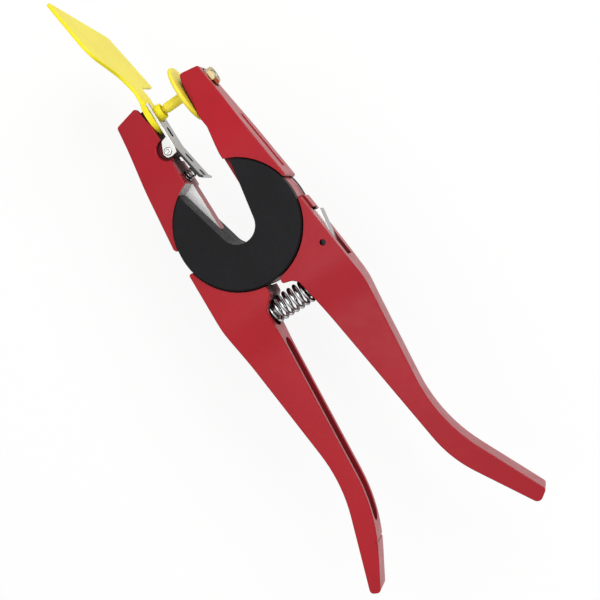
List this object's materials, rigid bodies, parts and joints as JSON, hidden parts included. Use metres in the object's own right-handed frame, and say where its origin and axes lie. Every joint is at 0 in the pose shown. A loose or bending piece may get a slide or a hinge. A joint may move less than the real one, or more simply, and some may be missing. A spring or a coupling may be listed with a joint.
{
  "type": "ear tag pliers",
  "caption": "Hand pliers with crossed cast levers on an open horseshoe hub, a spring clip on one jaw and a pin on the other, loaded with a two-piece livestock ear tag.",
  "frame": {"origin": "on the pivot axis of the two levers, at the middle of the hub's height", "axes": "+Y towards the jaws and the tag, +X towards the jaw with the pin, +Z along the pivot axis towards the front disc"},
  "size_m": [0.0993, 0.3265, 0.0724],
  "materials": {
    "red_paint": "satin red powder coat on a cast aluminium lever",
    "black_plastic": "fine matte moulded black",
    "steel": "turned and ground steel",
    "spring_steel": "bright plated spring steel",
    "brass": "machined brass",
    "yellow_plastic": "soft satin yellow moulding"
  },
  "bodies": {
    "clip_arm": {"clip_lever": "red_paint", "front_disc": "black_plastic", "back_disc": "black_plastic", "hub_bushes": "steel", "hub_screws": "steel", "clip_pin": "steel", "ear_tag": "yellow_plastic", "pawl_pin": "steel", "right_spring_peg": "steel", "return_spring": "spring_steel", "clip_spring": "spring_steel", "pawl_spring": "spring_steel"},
    "pin_arm": {"pin_lever": "red_paint", "applicator_pin": "steel", "pin_washer": "steel", "pin_nut": "brass", "tag_button": "yellow_plastic", "left_spring_peg": "steel"},
    "clip": {"tag_clip": "spring_steel"},
    "pawl": {"latch_pawl": "steel"}
  },
  "joints": [
    {"name": "squeeze", "type": "hinge", "parent": "clip_arm", "child": "pin_arm", "pos_m": [0, 0, 0], "axis": [0, 0, 1], "range_deg": [0, 8], "stiffness_Nm_per_rad": 19, "springref_deg": -2.58, "deforming": ["return_spring"]},
    {"name": "clip_open", "type": "hinge", "parent": "clip_arm", "child": "clip", "pos_m": [-0.0109, 0.0494, 0], "axis": [0, 0, -1], "range_deg": [0, 10], "stiffness_Nm_per_rad": 2, "springref_deg": -5.73, "deforming": ["clip_spring"]},
    {"name": "pawl_press", "type": "hinge", "parent": "clip_arm", "child": "pawl", "pos_m": [0.0309, -0.0293, 0], "axis": [0, 0, 1], "range_deg": [0, 8], "stiffness_Nm_per_rad": 0.3, "springref_deg": -5.73, "deforming": ["pawl_spring"]}
  ]
}
